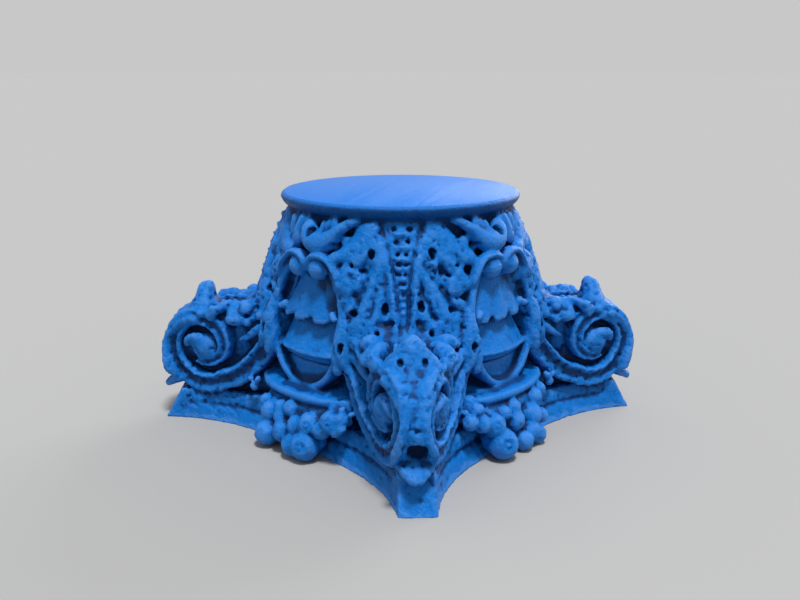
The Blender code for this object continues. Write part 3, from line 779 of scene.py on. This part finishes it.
# Fruit of the two kinds of face: across, height and radius, with a dimple where the last value is 1
FRUIT_LEFT = ((-36, 43, 11, 0), (-19, 51, 8, 1), (0.5, 55, 8.5, 0), (-14, 41, 8.5, 0), (-33.5, 16.5, 13, 0),
              (-5, 27, 11.5, 1), (16, 38.5, 10.5, 0), (35.5, 44, 14.5, 1), (66, 54, 11, 1), (54, 42, 9, 0),
              (34.5, 18.5, 17.5, 1), (18, 15, 12.5, 0), (79, 60, 6, 0), (76, 46, 6, 0), (-50, 52, 7, 0),
              (84, 50, 5, 0))
FRUIT_RIGHT = ((-52, 43, 14, 1), (-45, 19, 18, 1), (-89, 56, 8, 0), (-75, 66, 8, 0), (-15, 40, 10.5, 0),
               (-12, 55, 8.5, 0), (20, 37, 11.5, 0), (11, 19.5, 10.5, 0), (-7, 12, 10, 0), (22, 11.5, 10, 0),
               (-71, 50, 9, 0), (-31, 52, 8, 0), (36, 55, 9, 0), (52, 60, 7, 0), (40, 30, 8, 0))


def fruit_place(across, height):
    """Centre of a fruit: the bunch leans out as it goes down."""
    return Vector((196 + 21.6 * (1 - height / 60) - 0.06 * abs(across), across, height))


def swollen(radius):
    """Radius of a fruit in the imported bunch: the small ones crowd each other most."""
    return radius * (1.06 if radius > 13 else 1.28)


def fruit(bm, berries):
    """Bunch of round fruit that hangs from the lip over the abacus."""
    for across, height, radius, _ in berries:
        size = swollen(radius)
        knob(bm, fruit_place(across, max(height, size * 1.03)), size, fine=16)
        knob(bm, fruit_place(across * 0.96, height + 5) - Vector((12, 0, 0)), size, fine=10)
    middle = sum(b[0] for b in berries) / len(berries)
    for low, reach, span in ((54, -12, 44), (38, -13, 36), (24, -14, 24)):
        ends = [fruit_place(middle + span * t, low) + Vector((reach, 0, 0)) for t in (-1, 0, 1)]
        strand(bm, ends, (12, 13, 12), (12, 14, 12), (1, 0, 0), 14, 24)


def fruit_eyes(bm, berries):
    """Ring-shaped dimple where a fruit's stalk was."""
    for across, height, radius, dimple in berries:
        if dimple:
            size = swollen(radius)
            centre = fruit_place(across, max(height, size * 1.03))
            aim = Vector((0.85, -0.45 if across < 0 else 0.45, 0.25)).normalized()
            side = aim.orthogonal().normalized()
            for k in range(7):
                turn = Matrix.Rotation(2 * math.pi * k / 7, 3, aim)
                knob(bm, centre + (aim * 0.95 + turn @ side * 0.28).normalized() * size, size * 0.17, fine=6)


# Joining the carving

def turned(bm, target, angle):
    """Adds a copy of one bmesh to another, turned about the axis by an angle in degrees."""
    mesh = bpy.data.meshes.new("turned")
    bm.to_mesh(mesh)
    mesh.transform(Matrix.Rotation(math.radians(angle), 4, "Z"))
    target.from_mesh(mesh)
    bpy.data.meshes.remove(mesh)


def object_from(name, bm):
    """Scene object from a finished bmesh."""
    bmesh.ops.recalc_face_normals(bm, faces=bm.faces)
    mesh = bpy.data.meshes.new(name)
    bm.to_mesh(mesh)
    bm.free()
    obj = bpy.data.objects.new(name, mesh)
    bpy.context.scene.collection.objects.link(obj)
    return obj


def applied(obj):
    """Puts the result of an object's modifiers in its mesh."""
    bpy.context.view_layer.update()
    mesh = bpy.data.meshes.new_from_object(obj.evaluated_get(bpy.context.evaluated_depsgraph_get()))
    old = obj.data
    obj.modifiers.clear()
    obj.data = mesh
    bpy.data.meshes.remove(old)


def raised_corner(bm):
    """Raised forms of one corner."""
    corner_web(bm)
    stem(bm)
    tongue(bm)
    leaf_skin(bm)
    panel_rungs(bm)
    lobe_ends(bm)
    leaf_tip(bm)
    for side in (-1, 1):
        shelf_lobes(bm, side)
        strap(bm, side)
        rim_beads(bm, side)
        volute_eye(bm, side)


def raised_face(bm, hand, berries):
    """Raised forms of one face."""
    oval_frame(bm)
    flower(bm)
    lip(bm)
    neck_leaf(bm, hand)
    fruit(bm, berries)
    for side in (-1, 1):
        frame_scrolls(bm, side)
        tassel(bm, side)


def sunk_corner(bm):
    """Drilled and sunk forms of one corner."""
    mouth(bm)
    tip_eyes(bm)
    leaf_eyes(bm)


def sunk_face(bm, hand, berries):
    """Drilled and sunk forms of one face."""
    flower_grooves(bm)
    neck_eyes(bm, hand)
    fruit_eyes(bm, berries)
    for side in (-1, 1):
        tassel_eyes(bm, side)


def all_round(whole, corner_forms, face_forms):
    """Adds the forms of the four corners, then those of each kind of face to both faces of that kind."""
    corner = bmesh.new()
    corner_forms(corner)
    for quarter in range(4):
        turned(corner, whole, 45 + 90 * quarter + CARVING_TURN)
    corner.free()
    for hand, berries, first in ((-1, FRUIT_RIGHT, 0), (1, FRUIT_LEFT, 90)):
        face = bmesh.new()
        face_forms(face, hand, berries)
        for quarter in (0, 2):
            turned(face, whole, first + 90 * quarter + CARVING_TURN)
        face.free()
    return whole


def carve():
    """Joins the raised forms, drills them and evens out the mesh."""
    body = bmesh.new()
    bell(body)
    abacus(body)
    capital = object_from("carved_capital", all_round(body, raised_corner, raised_face))
    drill = object_from("drill", all_round(bmesh.new(), sunk_corner, sunk_face))
    for obj in (capital, drill):
        remesh = obj.modifiers.new("join", "REMESH")
        remesh.mode = "VOXEL"
        remesh.voxel_size = VOXEL * (1.0 if obj is capital else DRILL_FINENESS)
        applied(obj)
    cut = capital.modifiers.new("cut", "BOOLEAN")
    cut.operation = "DIFFERENCE"
    cut.solver = "MANIFOLD"
    cut.object = drill
    soften = capital.modifiers.new("soften", "REMESH")
    soften.mode = "VOXEL"
    soften.voxel_size = VOXEL
    applied(capital)
    bpy.data.objects.remove(drill, do_unlink=True)
    return capital


def lattice_noise(points, size, seed):
    """Smooth noise from -1 to 1 at many points, its cells one size across."""
    spot = points / size + seed
    cell = np.floor(spot).astype(np.int64)
    t = spot - cell
    t = t * t * (3 - 2 * t)
    total = np.zeros(len(points))
    for corner in range(8):
        step = np.array((corner & 1, corner >> 1 & 1, corner >> 2 & 1))
        key = ((cell + step) * np.array((73856093, 19349663, 83492791))).sum(axis=1)
        key = (key ^ key >> 13) * 1274126177 & 0x7fffffff
        key = (key ^ key >> 11) * 668265263 & 0x7fffffff
        total += np.prod(np.where(step == 1, t, 1 - t), axis=1) * (key / 0x3fffffff - 1)
    return total


def roughness(points):
    """Share of tool marks and pits: rough on leaves, bands and abacus, smooth on fruit, flower and neck."""
    z = points[:, 2]
    radius = np.hypot(points[:, 0], points[:, 1])
    corner = 45 - np.abs((np.degrees(np.arctan2(points[:, 1], points[:, 0])) - CARVING_TURN) % 90 - 45)
    leafy = np.clip((corner - 13) / 9, 0, 1)
    rough = np.where(radius > BELL_RADIUS + 3, 0.30 + 0.70 * leafy, 0.3)
    rough = np.where((z < LIP_HEIGHT - 8) & (corner < 24) & (radius > 184), 0.62, rough)
    rough = np.where(z < ABACUS_HEIGHT * 0.55, 0.75, rough)
    return np.where(z > NECK_TOP - 2, 0.28, rough)


def places_of(mesh):
    """Positions and normals of a mesh's points as arrays."""
    points = np.empty(len(mesh.vertices) * 3)
    mesh.vertices.foreach_get("co", points)
    normals = np.empty(len(mesh.vertices) * 3)
    mesh.vertex_normals.foreach_get("vector", normals)
    return points.reshape(-1, 3), normals.reshape(-1, 3)


def edges_of(mesh):
    """Both ends of every edge of a mesh."""
    ends = np.empty(len(mesh.edges) * 2, dtype=np.int64)
    mesh.edges.foreach_get("vertices", ends)
    return ends.reshape(-1, 2)


def evened(values, ends, rounds):
    """Values at a mesh's points averaged with their neighbours a number of times."""
    count = np.maximum(np.bincount(ends.ravel(), minlength=len(values)), 1)
    for _ in range(rounds):
        total = np.empty_like(values)
        for axis in range(values.shape[1]):
            gain = np.bincount(ends[:, 0], values[ends[:, 1], axis], len(values))
            gain += np.bincount(ends[:, 1], values[ends[:, 0], axis], len(values))
            total[:, axis] = gain / count
        values = 0.5 * values + 0.5 * total
    return values


def weather(capital):
    """Moves the surface in and out for pits and worn tool marks, and keeps both beds flat."""
    points, normals = places_of(capital.data)
    points = evened(points, edges_of(capital.data), 1)
    rough = roughness(points)
    fine = lattice_noise(points, 4.6, 3.0) + 0.6 * lattice_noise(points, 2.6, 31.0)
    pits = np.clip(lattice_noise(points, 4.2, 91.0) - 0.30, 0, 1)
    broad = lattice_noise(points, 19.0, 57.0)
    streaks = lattice_noise(points @ np.array(((0.30, 0, 0.5), (0, 0.30, 0.5), (0, 0, 1.0))), 3.4, 17.0)
    low = np.clip((ABACUS_HEIGHT * 0.62 - points[:, 2]) / 4, 0, 1)
    swell = rough * (TOOL_MARKS * fine - PIT_DEPTH * pits) * (1 - 0.5 * low) + SWAY * broad
    swell += STREAKS * low * streaks
    points = points + normals * swell[:, None]
    points[:, :2] = np.clip(points[:, :2], SIDE_MARGIN - WIDTH / 2, WIDTH / 2 - SIDE_MARGIN)
    capital.data.vertices.foreach_set("co", points.ravel())
    bm = bmesh.new()
    bm.from_mesh(capital.data)
    for z, keep in ((0.0, 1), (HEIGHT, -1)):
        whole = bm.verts[:] + bm.edges[:] + bm.faces[:]
        cut = bmesh.ops.bisect_plane(bm, geom=whole, plane_co=(0, 0, z), plane_no=(0, 0, -keep),
                                     clear_outer=True)
        rim = [e for e in cut["geom_cut"] if isinstance(e, bmesh.types.BMEdge)]
        bmesh.ops.holes_fill(bm, edges=rim, sides=0)
    bmesh.ops.triangulate(bm, faces=bm.faces)
    bm.to_mesh(capital.data)
    bm.free()


def largest_only(capital):
    """Drops closed pockets that the joining left inside the stone."""
    ends = edges_of(capital.data)
    group = np.arange(len(capital.data.vertices))
    while True:
        low = np.minimum(group[ends[:, 0]], group[ends[:, 1]])
        fresh = group.copy()
        np.minimum.at(fresh, ends[:, 0], low)
        np.minimum.at(fresh, ends[:, 1], low)
        fresh = fresh[fresh]
        if np.array_equal(fresh, group):
            break
        group = fresh
    keep = np.bincount(group).argmax()
    bm = bmesh.new()
    bm.from_mesh(capital.data)
    bm.verts.ensure_lookup_table()
    loose = [bm.verts[i] for i in np.flatnonzero(group != keep)]
    bmesh.ops.delete(bm, geom=loose, context="VERTS")
    bm.to_mesh(capital.data)
    bm.free()


def thin(capital):
    """Brings the mesh under the triangle limit, with the two beds kept flat."""
    count = len(capital.data.polygons)
    carved = capital.vertex_groups.new(name="carved")
    inside = [v.index for v in capital.data.vertices if 0.02 < v.co.z < HEIGHT - 0.02]
    carved.add(inside, 1.0, "REPLACE")
    decimate = capital.modifiers.new("thin", "DECIMATE")
    decimate.ratio = min(1.0, MOST_TRIANGLES / count)
    decimate.vertex_group = "carved"
    applied(capital)


def hollows(capital):
    """Stores how sunk or raised each point is, closely and broadly, for the painted shade in hollows and
    creases and the painted highlight on crests to follow.
    """
    points, normals = places_of(capital.data)
    ends = edges_of(capital.data)
    near = evened(points, ends, 3)
    wide = evened(near, ends, 22)
    # a value of 1 stands for this depth in millimetres
    for name, level, reach in (("crease", near, 0.9), ("hollow", wide, 4.0)):
        sunk = ((level - points) * normals).sum(axis=1)[:, None] / reach
        layer = capital.data.attributes.new(name, "FLOAT", "POINT")
        layer.data.foreach_set("value", evened(sunk, ends, 2).ravel())


def linear(hex_colour):
    """Linear colour from an sRGB hex value."""
    channels = [int(hex_colour[i:i + 2], 16) / 255 for i in (1, 3, 5)]
    return [c / 12.92 if c <= 0.04045 else ((c + 0.055) / 1.055) ** 2.4 for c in channels] + [1.0]


def add(tree, kind, settings=None, links=None):
    """Adds one node with its settings and its linked inputs."""
    node = tree.nodes.new(kind)
    for name, value in (settings or {}).items():
        if isinstance(name, str) and hasattr(node, name):
            setattr(node, name, value)
        else:
            node.inputs[name].default_value = value
    for name, output in (links or {}).items():
        tree.links.new(output, node.inputs[name])
    return node


def ranged(tree, value, low, high, start=0.0, end=1.0):
    """Output that goes from start to end while a value goes from low to high."""
    settings = {"From Min": low, "From Max": high, "To Min": start, "To Max": end}
    return add(tree, "ShaderNodeMapRange", settings, {"Value": value}).outputs["Result"]


def painted_stone():
    """Satin blue coat over pitted stone with random dusty patches, painted shade in the hollows and creases,
    and painted highlights on the crests and the top bed.
    """
    material = bpy.data.materials.new("painted_stone")
    material.use_nodes = True
    tree = material.node_tree
    shader = tree.nodes["Principled BSDF"]
    shader.inputs["Roughness"].default_value = 0.41
    place = add(tree, "ShaderNodeTexCoord").outputs["Object"]
    hollow = add(tree, "ShaderNodeAttribute", {"attribute_name": "hollow"}).outputs["Fac"]
    crease = add(tree, "ShaderNodeAttribute", {"attribute_name": "crease"}).outputs["Fac"]
    height = add(tree, "ShaderNodeSeparateXYZ", None, {0: place}).outputs["Z"]
    grain = add(tree, "ShaderNodeTexNoise", {"Scale": GRAIN, "Detail": 4.0, "Roughness": 0.6},
                {"Vector": place}).outputs["Fac"]
    patches = add(tree, "ShaderNodeTexNoise", {"Scale": PATCHES, "Detail": 3.0, "Roughness": 0.6},
                  {"Vector": place}).outputs["Fac"]
    dust = add(tree, "ShaderNodeMath", {"operation": "MULTIPLY"}, {0: grain, 1: patches}).outputs[0]
    bed = ranged(tree, height, (HEIGHT - 0.6) * MM, (HEIGHT - 0.2) * MM)
    # dusty patches, painted highlight on crests, painted shade in creases, hollows and on the astragal,
    # painted light on its top edge and painted sheen on the bed
    coats = ((ranged(tree, dust, 0.24, 0.36, 0.0, 0.5), "#2273c4"),
             # painted highlight: convex crests lighter
             (ranged(tree, crease, -0.30, -1.10, 0.0, 0.45), "#4a88d4"),
             # painted shade: creases darker
             (ranged(tree, crease, 0.03, 0.38, 0.0, 0.85), "#053472"),
             # painted shade: broad hollows darker
             (ranged(tree, hollow, 0.02, 0.75), "#042650"),
             # painted shade: the astragal's band darker
             (ranged(tree, height, (NECK_TOP - 3) * MM, (NECK_TOP + 3) * MM, 0.0, 0.85), "#043c78"),
             # painted light: the astragal's top edge lifted out of that shade
             (ranged(tree, height, (HEIGHT - 4.5) * MM, (HEIGHT - 1.5) * MM), "#1463b4"),
             # painted sheen: the top bed lighter
             (bed, "#0a6cc6"))
    colour = None
    for factor, hex_colour in coats:
        mix = add(tree, "ShaderNodeMix", {"data_type": "RGBA"}, {"Factor": factor})
        mix.inputs[6].default_value = linear("#0868ba")
        mix.inputs[7].default_value = linear(hex_colour)
        if colour is not None:
            tree.links.new(colour, mix.inputs[6])
        colour = mix.outputs[2]
    tree.links.new(colour, shader.inputs["Base Color"])
    tree.links.new(ranged(tree, bed, 0.0, 1.0, 0.12, 0.24), shader.inputs["Specular IOR Level"])
    bump = add(tree, "ShaderNodeBump", {"Strength": 1.0, "Distance": 0.0018}, {"Height": grain})
    tree.links.new(bump.outputs["Normal"], shader.inputs["Normal"])
    return material


def plain_floor():
    """Plain pale floor."""
    bm = bmesh.new()
    bmesh.ops.create_grid(bm, x_segments=1, y_segments=1, size=60.0)
    floor = object_from("floor", bm)
    material = bpy.data.materials.new("pale_floor")
    material.use_nodes = True
    shader = material.node_tree.nodes["Principled BSDF"]
    shader.inputs["Base Color"].default_value = linear("#9c9c9c")
    shader.inputs["Roughness"].default_value = 0.8
    shader.inputs["Specular IOR Level"].default_value = 0.0
    floor.data.materials.append(material)


def studio():
    """Soft light from above, a broad low light from behind and a pale surround."""
    scene = bpy.context.scene
    world = bpy.data.worlds.new("pale_room")
    world.use_nodes = True
    backdrop = world.node_tree.nodes["Background"]
    backdrop.inputs["Color"].default_value = linear("#c8c8c8")
    backdrop.inputs["Strength"].default_value = 1.0
    scene.world = world
    suns = (("key", (0.55, -0.32, 1.90), 11.0, 3.3), ("sheen", (-0.10, 0.97, 0.28), 48.0, 2.0))
    for name, towards, spread, power in suns:
        light = bpy.data.lights.new(name, "SUN")
        light.angle = math.radians(spread)
        light.energy = power
        lamp = bpy.data.objects.new(name, light)
        lamp.rotation_euler = Vector(towards).to_track_quat("Z", "Y").to_euler()
        scene.collection.objects.link(lamp)
    scene.view_settings.view_transform = "Standard"


def camera():
    """Camera at the photograph's height, distance and lens."""
    lens = bpy.data.cameras.new("camera")
    lens.sensor_width = 36.0
    lens.lens = 39.448
    view = bpy.data.objects.new("camera", lens)
    view.location = (0.76220, -0.85914, 0.45956)
    view.rotation_euler = (math.radians(75.041), 0.0, math.radians(41.601))
    bpy.context.scene.collection.objects.link(view)
    bpy.context.scene.camera = view


capital = carve()
largest_only(capital)
weather(capital)
thin(capital)
hollows(capital)
capital.data.transform(Matrix.Diagonal((MM, MM, MM, 1.0)))
capital.data.materials.clear()
capital.data.materials.append(painted_stone())
capital.data.shade_smooth()
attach(capital, "root")
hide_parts(NODE)

plain_floor()
studio()
camera()
